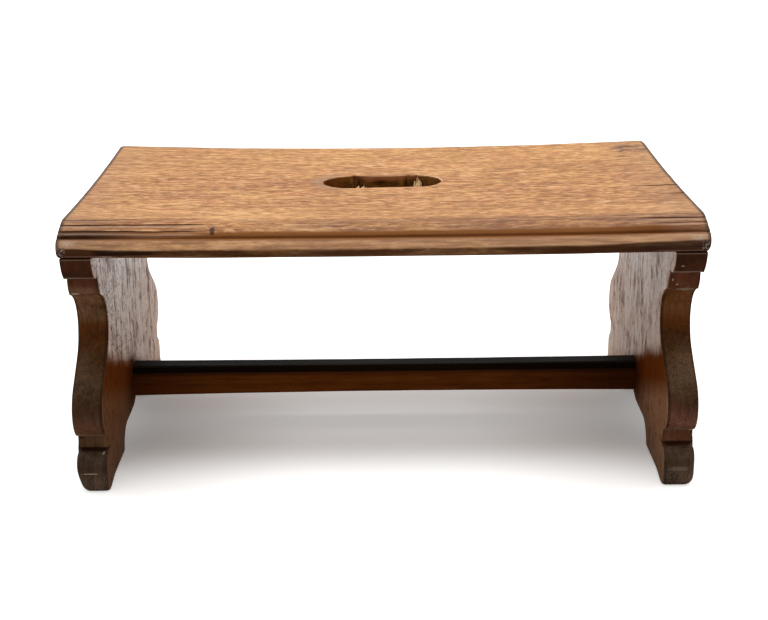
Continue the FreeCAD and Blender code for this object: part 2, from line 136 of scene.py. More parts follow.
def round_off(mesh, edges, size, steps, worn=None):
    """Round edges over, and mark the new faces as worn arris."""
    made = bmesh.ops.bevel(
        mesh, geom=edges, offset=size * MM, offset_type="OFFSET", affect="EDGES",
        segments=steps, profile=0.5, material=-1, clamp_overlap=True)
    if worn is not None:
        for face in made["faces"]:
            face[worn] = 1


def slice_at(mesh, axis, places):
    """Cut the mesh across at each place, in millimetres along one axis."""
    for place in places:
        spot = Vector((0, 0, 0))
        spot[axis] = place * MM
        across = Vector((0, 0, 0))
        across[axis] = 1
        everything = mesh.verts[:] + mesh.edges[:] + mesh.faces[:]
        bmesh.ops.bisect_plane(mesh, geom=everything, plane_co=spot, plane_no=across, dist=1e-6)


def spread(low, high, step):
    """Evenly spaced places from low to high, ends left out."""
    count = max(int(round((high - low) / step)), 1)
    return [low + (high - low) * n / count for n in range(1, count)]


def finish_piece(mesh, name, node, material, flat_test=None, sharp=32):
    """Turn a bmesh into a piece that stands for one CAD node."""
    mesh.normal_update()
    data = settle(mesh, name)
    data.set_sharp_from_angle(angle=math.radians(sharp))
    for face in data.polygons:
        face.use_smooth = not (flat_test and flat_test(face))
    data.materials.clear()
    data.materials.append(material)
    piece = put(name, data)
    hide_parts(node)
    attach(piece, "root")
    return piece


def copy_of(node):
    """A welded copy of a CAD node's mesh, with its flat faces joined up."""
    mesh = bmesh.new()
    mesh.from_mesh(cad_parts[node].data)
    bmesh.ops.remove_doubles(mesh, verts=mesh.verts, dist=0.002 * MM)
    bmesh.ops.dissolve_limit(
        mesh, angle_limit=math.radians(0.6), use_dissolve_boundaries=False,
        verts=mesh.verts, edges=mesh.edges)
    return mesh


# Seat board


def seat_section():
    """The seat's section in the plane X = 0, as one face of a new bmesh."""
    mesh = bmesh.new()
    bead = BEAD_RADIUS
    front = -SEAT_HALF_DEPTH
    quirk = front + 9.9
    first = mesh.verts.new((0, (front + bead) * MM, 0))

    def swing(vert, y, z, turn, steps):
        """Sweep an arc from a vertex about a centre, and return its far end."""
        made = bmesh.ops.spin(
            mesh, geom=[vert], cent=(0, y * MM, z * MM), axis=(1, 0, 0), dvec=(0, 0, 0),
            angle=math.radians(turn), steps=steps, use_merge=False, use_duplicate=False)
        return only_verts(made["geom_last"])[0]

    def draw(vert, y, z):
        """Draw a straight line from a vertex, and return its far end."""
        made = bmesh.ops.extrude_vert_indiv(mesh, verts=[vert])["verts"][0]
        made.co = (0, y * MM, z * MM)
        return made

    round_way = 180 + math.degrees(math.asin((quirk - front - bead) / bead))
    here = swing(first, front + bead, bead, -round_way, 24)
    here = draw(here, quirk, QUIRK_EDGE)
    wide, drop = SHOULDER_BACK - quirk, SEAT_THICK - QUIRK_EDGE
    radius = (wide ** 2 + drop ** 2) / (2 * drop)
    slope = math.degrees(math.asin(wide / radius))
    here = swing(here, SHOULDER_BACK, SEAT_THICK - radius, -slope, 12)
    here = draw(here, SEAT_HALF_DEPTH, SEAT_THICK)
    here = draw(here, SEAT_HALF_DEPTH, 0)
    mesh.edges.new((here, first))
    bmesh.ops.contextual_create(mesh, geom=mesh.edges[:])
    return mesh


def worn_height(x, y):
    """How high the worn top lies above the seat's underside."""
    t = y / (SEAT_HALF_DEPTH + 10)
    ends = 19.8 - 0.5 * t + 3.2 * t * t
    hollow = 3.6 + 0.8 * t + 0.2 * t * t
    return ends - hollow * (1 - (x / SEAT_HALF_LENGTH) ** 2)


def wear_seat(vert):
    """Move one point of the new board to where years of use have left it."""
    x, y, z = vert.co / MM
    u = min(abs(x) / SEAT_HALF_LENGTH, 1.0)
    worn = worn_height(x, y) + 0.18 * ripple(x, y * 2.2, 3.0, 38)
    if y > TOP_FRONT:
        lowered = z + (worn - SEAT_THICK) * z / SEAT_THICK
    else:
        # The moulding runs a little lower at the board's middle than at its ends
        up = min(max(z / 11.0, 0.0), 1.0)
        lift = (1 - up) * -0.6 * (1 - u * u) + up * (0.6 + 1.4 * u * u)
        lift *= 1 - smooth_step(z, 13.5, 21.0)
        lowered = soft_least(z + lift, worn, 1.2)
    if z < 1.0 and y > TOP_FRONT:
        lowered = z
    lowered -= 0.6 * (1 - smooth_step(abs(x), 120, 203)) * (1 - min(z / SEAT_THICK, 1.0))
    # The quirk is worn shallow at its ends, and the bead's lower corners are knocked off
    crest = BEAD_RADIUS - SEAT_HALF_DEPTH
    if crest < y < crest + 4.1 and z > 9:
        y = crest + (y - crest) * (1 - 0.8 * smooth_step(abs(x), 220, 228.4))
    if y < SHOULDER_BACK:
        corner = max(1 - z / (7.0 if x > 0 else 3.5), 0.0) ** 2
        end = smooth_step(abs(x), 221, SEAT_HALF_LENGTH)
        x -= math.copysign((2.0 if x > 0 else 1.4) * corner * end, x)
        y += 0.25 * ripple(x, 0, z, 45) + 0.12 * ripple(x, 9, z, 12) + 0.15
    vert.co = Vector((x, max(y, 0.02 - SEAT_HALF_DEPTH), min(lowered, SEAT_THICK - 0.42))) * MM


def make_slot_cutters():
    """The tools that cut the hand slot: two augers, and the ragged waste between them."""
    cutters = []
    for x, y, radius in (LEFT_BORE, RIGHT_BORE):
        mesh = bmesh.new()
        bmesh.ops.create_cone(
            mesh, cap_ends=True, cap_tris=False, segments=96,
            radius1=radius * MM, radius2=radius * MM, depth=60 * MM,
            matrix=Matrix.Translation((x * MM, y * MM, 10 * MM)))
        cutters.append(mesh)
    mesh = bmesh.new()
    outline = ((-27, -4.0), (-18, -3.2), (-10, -2.6), (0, -2.0), (12, -1.8), (27, -1.4),
               (29.5, 12), (28.6, 41.5), (27.0, 44.0), (25.0, 40.6), (20, 39.0), (13, 37.4),
               (6, 36.6), (-4, 36.9), (-12, 38.0), (-19, 39.4), (-23.6, 41.6), (-25.8, 44.4),
               (-27.0, 40.0), (-30, 12))
    for x, y in outline:
        mesh.verts.new((x * MM, y * MM, -20 * MM))
    bmesh.ops.contextual_create(mesh, geom=mesh.verts[:])
    thicken(mesh, (0, 0, 60))
    cutters.append(mesh)
    return cutters


def cut_away(mesh, cutters):
    """Cut shapes out of a bmesh with the Boolean modifier, and return the rest."""
    board = put("board", settle(mesh, "board"))
    tools = []
    for number, cutter in enumerate(cutters):
        name = "cutter_%d" % number
        tool = put(name, settle(cutter, name))
        tools.append(tool)
        step = board.modifiers.new(name, "BOOLEAN")
        step.operation = "DIFFERENCE"
        step.solver = "EXACT"
        step.object = tool
    graph = bpy.context.evaluated_depsgraph_get()
    done = bpy.data.meshes.new_from_object(board.evaluated_get(graph))
    rest = bmesh.new()
    rest.from_mesh(done)
    for item in tools + [board]:
        bpy.data.objects.remove(item)
    return rest


def add_splinter(mesh, torn, foot, tip, width, number):
    """A sliver of torn wood from foot to tip, in millimetres, marked with a number over 1."""
    foot = Vector(foot) * MM
    tip = Vector(tip) * MM
    length = (tip - foot).length
    turn = (tip - foot).to_track_quat("Z", "Y").to_matrix().to_4x4()
    matrix = Matrix.Translation((foot + tip) / 2) @ turn
    made = bmesh.ops.create_cone(
        mesh, cap_ends=True, cap_tris=False, segments=7, radius1=width * MM / 2,
        radius2=width * MM / 9, depth=length, matrix=matrix)
    for vert in made["verts"]:
        for face in vert.link_faces:
            face[torn] = number
    edges = {edge for vert in made["verts"] for edge in vert.link_edges}
    long = [edge for edge in edges if edge.calc_length() > length * 0.8]
    bmesh.ops.subdivide_edges(mesh, edges=long, cuts=5, use_grid_fill=False)
    sliver = {vert for face in mesh.faces if face[torn] == number for vert in face.verts}
    for vert in sliver:
        x, y, z = vert.co / MM
        shake = Vector((ripple(x, y, z + number, 1.6), ripple(y, z, x + number, 1.6), 0))
        vert.co += shake * 0.22 * width * MM


def make_seat(material):
    """The seat board: moulded, slotted, worn hollow along its top, with rounded arrises."""
    mesh = seat_section()
    thicken(mesh, (2 * SEAT_HALF_LENGTH, 0, 0))
    bmesh.ops.translate(mesh, verts=mesh.verts, vec=(-SEAT_HALF_LENGTH * MM, 0, 0))
    mesh = cut_away(mesh, make_slot_cutters())
    bmesh.ops.remove_doubles(mesh, verts=mesh.verts, dist=0.02 * MM)
    worn = mesh.faces.layers.int.new("arris")

    corner_radius = 4.0

    def back_corner(edge, middle):
        return middle.y > SEAT_HALF_DEPTH - 0.1 and abs(middle.x) > SEAT_HALF_LENGTH - 0.1 \
            and 0.1 < middle.z < SEAT_THICK - 0.1 and is_crease(edge)

    round_off(mesh, pick_edges(mesh, back_corner), corner_radius, 6)

    def back_top(edge, middle):
        reach = corner_radius + 0.2
        near_back = middle.y > SEAT_HALF_DEPTH - reach
        return near_back and middle.z > SEAT_THICK - CLOSE and is_crease(edge) and (
            abs(middle.x) > SEAT_HALF_LENGTH - reach or middle.y > SEAT_HALF_DEPTH - 0.1)

    round_off(mesh, pick_edges(mesh, back_top), 1.7, 4, worn)

    def slot_top(edge, middle):
        return middle.z > SEAT_THICK - CLOSE and abs(middle.x) < 60 and abs(middle.y - 18) < 40 \
            and is_crease(edge)

    round_off(mesh, pick_edges(mesh, slot_top), 0.8, 3, worn)

    def end_arris(edge, middle):
        return abs(middle.x) > SEAT_HALF_LENGTH - CLOSE and is_crease(edge)

    round_off(mesh, pick_edges(mesh, end_arris), 1.1, 3, worn)

    def long_arris(edge, middle):
        under = middle.z < CLOSE and length_along(edge) > 20
        quirk = abs(middle.z - QUIRK_EDGE) < CLOSE and middle.y < -130
        return (under or quirk) and is_crease(edge) and abs(middle.x) < 60

    round_off(mesh, pick_edges(mesh, long_arris), 0.9, 3)
    slice_at(mesh, 0, spread(-SEAT_HALF_LENGTH, SEAT_HALF_LENGTH, 3.6))
    slice_at(mesh, 1, spread(-100, 136, 8))
    for vert in mesh.verts:
        wear_seat(vert)
    slivers = [
        ((29.9, 40.0, 1.8), (29.6, 41.2, 16.6), 6.0),
        ((27.4, 39.8, 2.6), (29.0, 40.4, 15.4), 5.0),
        ((31.8, 39.0, 2.8), (30.4, 40.0, 13.6), 3.6),
        ((25.4, 39.8, 4.5), (26.0, 38.6, 11.4), 3.0)]
    for x, y, along, ahead, high in (
            (-19.8, -0.9, 1.5, 0.5, 16.7), (-18.6, -2.6, -0.6, 1.9, 17.1),
            (-17.2, -3.0, 2.3, 0.7, 16.8), (-15.6, -2.2, 1.2, 1.7, 17.0),
            (-13.9, -2.7, 1.5, -0.2, 16.7), (-20.6, -2.8, 0.9, 0.3, 16.7)):
        slivers.append(((x, y, 15.4), (x + along, y + ahead, high + 0.2), 1.5))
    for number, (foot, tip, width) in enumerate(slivers):
        add_splinter(mesh, worn, foot, tip, width, 2 + number)
    bmesh.ops.translate(mesh, verts=mesh.verts, vec=(0, 0, SEAT_UNDERSIDE * MM))

    def flat(face):
        return abs(face.normal.x) > 0.999 or face.normal.z < -0.9995

    return finish_piece(mesh, "seat", "seat_board", material, flat)


# Legs, stretcher and cleats


def off_board_face(x):
    """How far a place lies from the nearer broad face of a leg."""
    return min(abs(abs(x) - LEG_INNER_FACE), abs(abs(x) - LEG_OUTER_FACE))


def make_leg(node, name, material):
    """A board leg with its arrises worn round."""
    mesh = copy_of(node)
    left = node == "left_leg"
    seed = 2 if left else 7
    worn = mesh.faces.layers.int.new("arris")

    def arris(edge, middle):
        in_mortise = abs(middle.y) < 12 and 30 < middle.z < 50
        return off_board_face(middle.x) < CLOSE and not in_mortise \
            and middle.z < SEAT_UNDERSIDE - 0.5 and is_crease(edge, 40)

    round_off(mesh, pick_edges(mesh, arris), 0.9, 3, worn)

    def sawn_corner(edge, middle):
        inside = LEG_INNER_FACE + 1 < abs(middle.x) < LEG_OUTER_FACE - 1
        return inside and length_along(edge) > 15 and abs(middle.y) > 30 \
            and middle.z < SEAT_UNDERSIDE - 0.5 and edge.is_convex and is_crease(edge, 30)

    round_off(mesh, pick_edges(mesh, sawn_corner), 0.6, 2, worn)
    slice_at(mesh, 2, spread(0, 180, 4.0))
    middle_x = (LEG_INNER_FACE + LEG_OUTER_FACE) / 2 * (-1 if left else 1)
    slice_at(mesh, 0, [middle_x + step for step in (-8.9, -4.5, 0, 4.5, 8.9)])
    slice_at(mesh, 1, [place for far in (104, 110, 116, 122, 128, 134) for place in (-far, far)])
    edges_worn = {vert for face in mesh.faces if face[worn] for vert in face.verts}
    for vert in edges_worn:
        x, y, z = vert.co / MM
        depth = 0.22 + 0.3 * ripple(x + seed * 40, y, z, 14) + 0.2 * ripple(x, y + seed * 9, z, 5)
        depth *= smooth_step(z, 12.0, 32.0)
        if z > 0.5 and off_board_face(x) >= 0.02:
            vert.co -= vert.normal * max(depth, 0.0) * MM
    # The boards lean out a little at the waist and the feet
    for vert in mesh.verts:
        x, z = vert.co.x / MM, vert.co.z / MM
        lean = 0.95 - 0.65 * smooth_step(z, 30, 36) + 0.4 * smooth_step(z, 92, 112) \
            - 0.6 * smooth_step(z, 150, 164)
        lean *= smooth_step(abs(x), LEG_OUTER_FACE - 7, LEG_OUTER_FACE - 1)
        vert.co.x += math.copysign(lean, x) * MM
    # The outer corners of the toes have been knocked round
    high, deep = (18.0, 5.2) if left else (9.0, 2.6)
    for vert in mesh.verts:
        x, y, z = vert.co / MM
        toe = smooth_step(abs(y - LEG_MIDDLE), 104, 132)
        if z < high and toe > 0:
            low = (1 - z / high) ** 1.7
            out = smooth_step(abs(x), LEG_INNER_FACE + 6, LEG_OUTER_FACE + 0.9)
            inner = 1 - smooth_step(abs(x), LEG_INNER_FACE, LEG_INNER_FACE + 8)
            step = toe * (out * deep * low - inner * 2.6 * max(1 - z / 6.0, 0.0) ** 1.7)
            vert.co.x -= math.copysign(step, x) * MM
    return finish_piece(mesh, name, node, material,
                        lambda face: abs(face.normal.x) > 0.9995)


def make_stretcher(material):
    """The chamfered bar, a little hollow along its underside, with its tenons."""
    mesh = copy_of("stretcher")
    worn = mesh.faces.layers.int.new("arris")

    def arris(edge, middle):
        return length_along(edge) > 300 and abs(middle.x) < 5 and is_crease(edge)

    round_off(mesh, pick_edges(mesh, arris), 0.7, 3, worn)
    slice_at(mesh, 0, spread(-LEG_INNER_FACE, LEG_INNER_FACE, 6))
    for vert in mesh.verts:
        x, y, z = vert.co / MM
        if abs(x) > LEG_INNER_FACE + 0.5:
            continue
        inward = 1 - (x / LEG_INNER_FACE) ** 2
        low = 1 - smooth_step(z, STRETCHER_FOOT, STRETCHER_FOOT + 9)
        high = smooth_step(z, STRETCHER_TOP - 9, STRETCHER_TOP)
        z += low * (1.45 * inward + 0.35 * x / LEG_INNER_FACE - 0.6) + high * 0.7 * (1 - inward)
        z += 0.15 * ripple(x, y, z, 30) * inward
        y += 0.15 * ripple(x, y, z + 70, 22) * inward
        vert.co = Vector((x, y, z)) * MM
    return finish_piece(mesh, "stretcher_bar", "stretcher", material,
                        lambda face: face.area > 12 * MM * MM)


def make_cleat(node, name, material):
    """A sawn batten with its arrises just broken."""
    mesh = copy_of(node)

    def arris(edge, middle):
        straight = len(edge.link_faces) == 2 and edge.calc_length() > 3 * MM
        return straight and is_crease(edge, 30)

    round_off(mesh, pick_edges(mesh, arris), 0.4, 2)
    return finish_piece(mesh, name, node, material)


# Finishes


class Wire:
    """A socket of a finish's node tree, for use in sums."""

    def __init__(self, finish, socket):
        self.finish = finish
        self.socket = socket

    def sum(self, operation, *others):
        wires = dict(enumerate((self,) + others))
        return self.finish.add("Math", {"operation": operation}, wires)

    def __add__(self, other):
        return self.sum("ADD", other)

    def __sub__(self, other):
        return self.sum("SUBTRACT", other)

    def __mul__(self, other):
        return self.sum("MULTIPLY", other)

    def __truediv__(self, other):
        return self.sum("DIVIDE", other)

    def __pow__(self, other):
        return self.sum("POWER", other)

    def __rsub__(self, other):
        return self.finish.add("Math", {"operation": "SUBTRACT"}, {0: other, 1: self})

    __radd__ = __add__
    __rmul__ = __mul__

    def __abs__(self):
        return self.sum("ABSOLUTE")

    def least(self, other):
        return self.sum("MINIMUM", other)

    def most(self, other):
        return self.sum("MAXIMUM", other)

    def rise(self, low, high):
        """Go softly from 0 at low to 1 at high, or from 1 to 0 where low is the greater."""
        ends = (0.0, 1.0) if low < high else (1.0, 0.0)
        return self.finish.add("MapRange", {"interpolation_type": "SMOOTHSTEP"}, {
            0: self, 1: min(low, high), 2: max(low, high), 3: ends[0], 4: ends[1]})

    def near(self, place, width):
        """1 at a place, and 0 further than width from it."""
        return abs(self - place).rise(width, 0.0)


class Finish:
    """A material that is being made: it adds nodes and joins their sockets."""

    def __init__(self, name):
        self.material = bpy.data.materials.new(name)
        self.material.use_nodes = True
        self.tree = self.material.node_tree
        self.colour = None
        self.shader = self.tree.nodes["Principled BSDF"]
        self.place = self.add("TexCoord", out="Object")
        split = self.add("SeparateXYZ", values={0: self.place}, out=None)
        self.x, self.y, self.z = [Wire(self, split.outputs[n]) for n in range(3)]

    def add(self, kind, settings=None, values=None, out=0):
        """Add a node: its settings first, then the values or wires of its sockets."""
        node = self.tree.nodes.new("ShaderNode" + kind)
        for name, value in (settings or {}).items():
            if name == "stops":
                while len(node.color_ramp.elements) < len(value):
                    node.color_ramp.elements.new(1.0)
                for stop, (place, colour) in zip(node.color_ramp.elements, value):
                    stop.position = place
                    stop.color = tuple(colour) + (1.0,)
            else:
                setattr(node, name, value)
        for name, value in (values or {}).items():
            self.feed(node.inputs[name], value)
        if out is None:
            return node
        return Wire(self, node.outputs[out])

    def feed(self, socket, value):
        """Put a wire or a plain value into a socket."""
        if isinstance(value, Wire):
            self.tree.links.new(value.socket, socket)
        elif isinstance(value, tuple) and socket.type == "RGBA":
            socket.default_value = tuple(value) + (1.0,)
        else:
            socket.default_value = value

    def vector(self, x, y, z):
        return self.add("CombineXYZ", values={0: x, 1: y, 2: z})

    def cloud(self, scale, detail, rough, place=None, shift=0.0):
        """Noise from 0 to 1, with its own scale along each axis."""
        spot = self.add("Mapping", {"vector_type": "POINT"}, {
            "Vector": place or self.place, "Location": (shift, shift * 0.7, shift * 1.3),
            "Scale": scale})
        return self.add("TexNoise", values={
            "Vector": spot, "Scale": 1.0, "Detail": detail, "Roughness": rough})

    def blend(self, mask, under, over, way="MIX"):
        """Lay one colour over another where a mask is 1."""
        node = self.add("Mix", {"data_type": "RGBA", "blend_type": way}, out=None)
        self.feed(node.inputs[0], mask)
        self.feed(node.inputs[6], under)
        self.feed(node.inputs[7], over)
        return Wire(self, node.outputs[2])

    def lay(self, mask, tint):
        """Lay a tint over the finish's colour so far where a mask is 1."""
        self.colour = self.blend(mask, self.colour, tint)

    def shade(self, colour, amount):
        """Multiply a colour by a number wire."""
        return self.blend(1.0, colour, self.vector(amount, amount, amount), "MULTIPLY")

    def mark(self, name):
        """The number that the mesh carries under a name."""
        return self.add("Attribute", {"attribute_name": name}, out="Fac")

    def finish(self, rough, height, strength, depth, **settings):
        """Join colour, roughness and relief to the shader, and set its fixed values."""
        self.feed(self.shader.inputs["Base Color"], self.colour)
        self.feed(self.shader.inputs["Roughness"], rough)
        bump = self.add("Bump", values={"Height": height, "Strength": strength, "Distance": depth})
        self.feed(self.shader.inputs["Normal"], bump)
        for name, value in settings.items():
            self.feed(self.shader.inputs[name.replace("_", " ")], value)
        return self.material


def oval(*spans):
    """0 at an oval's middle, 1 on its outline: a wire, its middle and its half width, twice."""
    across, along = [((wire - middle) / half) ** 2.0 for wire, middle, half in spans]
    return across + along


# Cracks along the seat: depth across the board, left end, right end, half width, in millimetres
SEAT_CRACKS = (
    (-122.7, -240.0, -118.0, 0.45),
    (-129.7, -240.0, -120.0, 0.30),
    (-115.0, -240.0, -176.0, 0.28),
    (-120.7, 172.0, 240.0, 0.42),
    (-126.7, 186.0, 240.0, 0.26),
    (-114.5, 150.0, 225.0, 0.2),
    (-18.0, 190.0, 240.0, 0.95),
    (-47.0, 206.0, 240.0, 1.0),
    (88.0, 188.0, 216.0, 0.8),
)


def seat_finish():
    """Worn honey-brown wood: short streaks along the board, dark pores, cracks and old dirt."""
    f = Finish("worn_seat_wood")
    sway = f.cloud((7.0, 22.0, 22.0), 2.0, 0.5, shift=3.0) - 0.5
    across = f.y + sway * 0.008
    down = f.z + sway * 0.004
    grain = f.vector(f.x, across, down)
    height = f.z - SEAT_UNDERSIDE * MM
    top = height.rise(0.0118, 0.0130)
    away = abs(f.x)
    quirk_line = -0.1330
    moulding = f.y.rise(-0.1290, quirk_line)
    flecks = f.cloud((125.0, 330.0, 400.0), 3.0, 0.58, grain, 1.0)
    swells = f.cloud((50.0, 170.0, 190.0), 3.0, 0.6, grain, 7.0)
    streaks = f.cloud((13.0, 210.0, 220.0), 3.0, 0.6, grain, 6.0)
    fibres = f.cloud((210.0, 800.0, 900.0), 2.0, 0.6, grain, 2.0)
    nicks = f.cloud((240.0, 240.0, 240.0), 3.0, 0.65, shift=30.0)
    pores = f.cloud((80.0, 330.0, 420.0), 2.0, 0.5, grain, 5.0).rise(0.57, 0.65)
    glints = f.cloud((110.0, 330.0, 330.0), 2.0, 0.5, grain, 12.0).rise(0.58, 0.68)
    patches = f.cloud((13.0, 26.0, 26.0), 3.0, 0.55, f.place, 11.0)
    blots = f.cloud((30.0, 52.0, 52.0), 3.0, 0.6, f.place, 4.0)
    warm = f.cloud((24.0, 44.0, 44.0), 3.0, 0.6, f.place, 17.0)
    grit = f.cloud((900.0, 900.0, 900.0), 2.0, 0.6, shift=33.0)
    tone = flecks * 1.30 + swells * 0.50 + fibres * 0.45 + streaks * 0.80 + patches * 0.55 - 1.31
    golden = f.add("ValToRGB", {"stops": (
        (0.22, (0.270, 0.108, 0.030)),
        (0.40, (0.405, 0.176, 0.054)),
        (0.56, (0.540, 0.258, 0.086)),
        (0.80, (0.720, 0.400, 0.165)))}, {"Fac": tone})
    rosy = f.add("ValToRGB", {"stops": (
        (0.22, (0.280, 0.102, 0.034)),
        (0.40, (0.415, 0.168, 0.060)),
        (0.56, (0.545, 0.245, 0.094)),
        (0.80, (0.720, 0.382, 0.172)))}, {"Fac": tone})
    f.colour = f.blend(warm.rise(0.36, 0.68), golden, rosy)
    f.lay(pores * 0.70, (0.205, 0.082, 0.026))
    f.lay(glints * 0.50, (0.84, 0.53, 0.27))
    f.lay(blots.rise(0.52, 0.74) * 0.38, (0.30, 0.140, 0.056))
    # The strip behind the shoulder has been rubbed light, and so has the back
    strip = f.y.rise(-0.114, -0.100) * f.y.rise(-0.060, -0.095)
    f.lay(strip * 0.14, (0.72, 0.385, 0.140))
    f.lay(f.y.rise(0.020, 0.120) * 0.16, (0.80, 0.430, 0.160))
    # The shoulder and the front moulding are darker and greyer than the rubbed top: dirt, and
    # painted shade where they slope away from the light
    edge = f.cloud((12.0, 80.0, 80.0), 3.0, 0.6, f.place, 8.0) - 0.5
    front = (f.y + edge * 0.012).rise(-0.1060, -0.1135)
    # Both ends, where fewer feet reached, have kept more of their brown
    outer = abs(f.x + 0.004).rise(0.176, 0.232) * (0.35 + blots * 0.5) * (1.0 - front)
    f.lay(outer * 0.62, (0.335, 0.178, 0.096))
    grime_and_shade = f.cloud((18.0, 230.0, 230.0), 4.0, 0.65, f.place, 9.0)
    scores = f.cloud((26.0, 460.0, 460.0), 3.0, 0.6, grain, 27.0)
    fresh = f.x.rise(-0.040, -0.090) * f.x.rise(-0.205, -0.190) * 0.30
    f.lay(front * (0.30 + grime_and_shade.rise(0.36, 0.66) * 0.50 - fresh), (0.220, 0.106, 0.062))
    f.lay(front * scores.rise(0.54, 0.66) * 0.60, (0.105, 0.048, 0.026))
    f.lay(front * scores.rise(0.44, 0.34) * 0.40, (0.62, 0.37, 0.21))
    ends = away.rise(0.13, 0.228)
    f.lay(front * ends * 0.24, (0.17, 0.105, 0.075))
    # The bead's upper half is painted lighter: a painted highlight where it faces the light again,
    # over its dirt
    bead = f.y.rise(-0.1372, -0.1400) * height.rise(0.0048, 0.0066)
    f.lay(bead * (0.40 + f.x.rise(0.04, 0.12) * 0.24),
          f.blend(grime_and_shade.rise(0.42, 0.60), (0.66, 0.38, 0.205), (0.40, 0.21, 0.11)))
    # Painted shade with some dirt in the quirk, painted shade softening the bead's back beside it,
    # and a nearly black band under the bead that is painted shade over dirt
    bow = (f.x / (SEAT_HALF_LENGTH * MM)) ** 2.0
    low = height - bow * 0.0015 + (grime_and_shade - 0.5) * 0.0012
    reach = (f.y - quirk_line).rise(0.0, -0.0005) * 0.0018 + 0.0052
    lift = away.rise(0.140, 0.215) * 0.0015 + f.x.rise(0.020, 0.150) * 0.0008
    quirk = oval((f.y, quirk_line, reach), (low - lift, 0.0122, 0.0046)).rise(1.22, 0.26)
    quirk = quirk * (1.0 - f.x.rise(0.192, 0.212) * 0.45)
    veil = f.y.rise(-0.1426, -0.1388) * moulding * low.rise(0.0080, 0.0104)
    f.lay(veil * (0.34 + f.x.rise(-0.175, -0.212) * 0.30), (0.180, 0.082, 0.040))
    f.lay(quirk * 0.92, f.blend(ends, (0.205, 0.074, 0.019), (0.125, 0.036, 0.005)))
    f.lay(quirk * f.x.rise(-0.160, -0.212) * 0.80, (0.022, 0.008, 0.003))
    under = height + (grime_and_shade - 0.5) * 0.004 - bow * (f.x * 0.007 + 0.0033)
    under = under + f.x.near(-0.168, 0.045) * 0.0007 + f.x.near(0.140, 0.050) * 0.0006
    under = under + f.x.rise(0.160, 0.190) * 0.0003 - f.x.rise(-0.200, -0.214) * 0.0008
    below = under.rise(0.0066, 0.0046) * moulding
    shade_and_dirt = f.cloud((13.0, 60.0, 60.0), 3.0, 0.6, f.place, 15.0).rise(0.38, 0.60)
    middle = away.rise(0.110, 0.050)
    f.lay(below * (0.74 + shade_and_dirt * 0.24 - middle * 0.06), (0.042, 0.0145, 0.0045))
    black = below * f.x.rise(-0.208, -0.198) * f.x.rise(-0.150, -0.172)
    f.lay(black * height.rise(0.0018, 0.0032) * 0.80, (0.005, 0.002, 0.001))
    f.lay(below * f.x.rise(0.160, 0.190) * 0.60, (0.020, 0.006, 0.005))
    catch = away.rise(0.186, 0.198) * height.near(0.0016, 0.0010) * below
    f.lay(catch * 0.66, (0.180, 0.088, 0.066))
    chip = oval((f.x, -0.1935, 0.0060), (height, 0.0011, 0.0008))
    chip = (chip + (grit - 0.5) * 6.0).rise(1.1, 0.3) * below
    f.lay(chip * 0.55, (0.42, 0.31, 0.23))
    # Ends, underside and back: plain wood that has gone dark
    side = away.rise(0.2274, 0.2281)
    f.lay(side * 0.80, (0.105, 0.060, 0.036))
    beneath = height.rise(0.0012, 0.0002)
    f.lay(beneath * 0.8, (0.12, 0.058, 0.028))
    back = f.y.rise(0.1405, 0.1422)
    f.lay(back * 0.7, (0.20, 0.095, 0.045))
    # Old dirt in the back right corner and round the slot's left end, a dark edge behind the
    # slot, and a pale rim at its right end
    dirt = f.cloud((90.0, 120.0, 120.0), 3.0, 0.6, shift=21.0)
    smudge = oval((f.x, 0.213, 0.016), (f.y, 0.113, 0.017)).rise(1.4, 0.2) * dirt.rise(0.40, 0.56)
    f.lay(smudge * 0.85, (0.085, 0.050, 0.034))
    halo = oval((f.x, LEFT_BORE[0] * MM, 0.0285), (f.y, LEFT_BORE[1] * MM, 0.0300))
    halo = halo.rise(1.45, 0.90) * f.x.rise(-0.028, -0.041) * (blots * 0.9 + flecks * 0.9 - 0.50)
    f.lay(halo, (0.255, 0.160, 0.115))
    back_rim = f.y.rise(0.0340, 0.0360) * f.y.rise(0.0440, 0.0385)
    back_rim = back_rim * abs(f.x - 0.002).rise(0.029, 0.023)
    f.lay(back_rim * 0.66, (0.200, 0.082, 0.034))
    ring = ((f.x - RIGHT_BORE[0] * MM) ** 2.0 + (f.y - RIGHT_BORE[1] * MM) ** 2.0) ** 0.5
    ring = ring.near(0.0214, 0.0011) * f.x.rise(0.030, 0.036) * f.y.rise(0.014, 0.022)
    f.lay(ring * 0.55, (0.85, 0.62, 0.44))
    # The arrises at the ends and along the back are darker
    back_line = f.y.rise(0.1392, 0.1418) * f.y.rise(0.14285, 0.14255) * 0.7
    rim = away.rise(0.2250, 0.2272).most(back_line) * top
    rim = rim.most(away.rise(0.2252, 0.2272) * front).most(side)
    f.lay(rim * 0.84, f.shade((0.070, 0.040, 0.026), 0.50 + grime_and_shade))
    # The bead's ends are rubbed pale on top, with a painted highlight over the rubbing, and their
    # lower corners are rough
    tip = away.near(0.2205, 0.0085) * f.y.rise(-0.1350, -0.1375) * low.near(0.0097, 0.0026)
    f.lay(tip * (0.25 + nicks.rise(0.36, 0.56) * 0.45), (0.56, 0.43, 0.33))
    rough_end = away.rise(0.2215, 0.2238) * height.rise(0.0098, 0.0074) * moulding
    f.lay(rough_end * 0.80, (0.045, 0.025, 0.017))
    f.lay(rough_end * grit.rise(0.55, 0.66) * 0.75, (0.42, 0.34, 0.27))
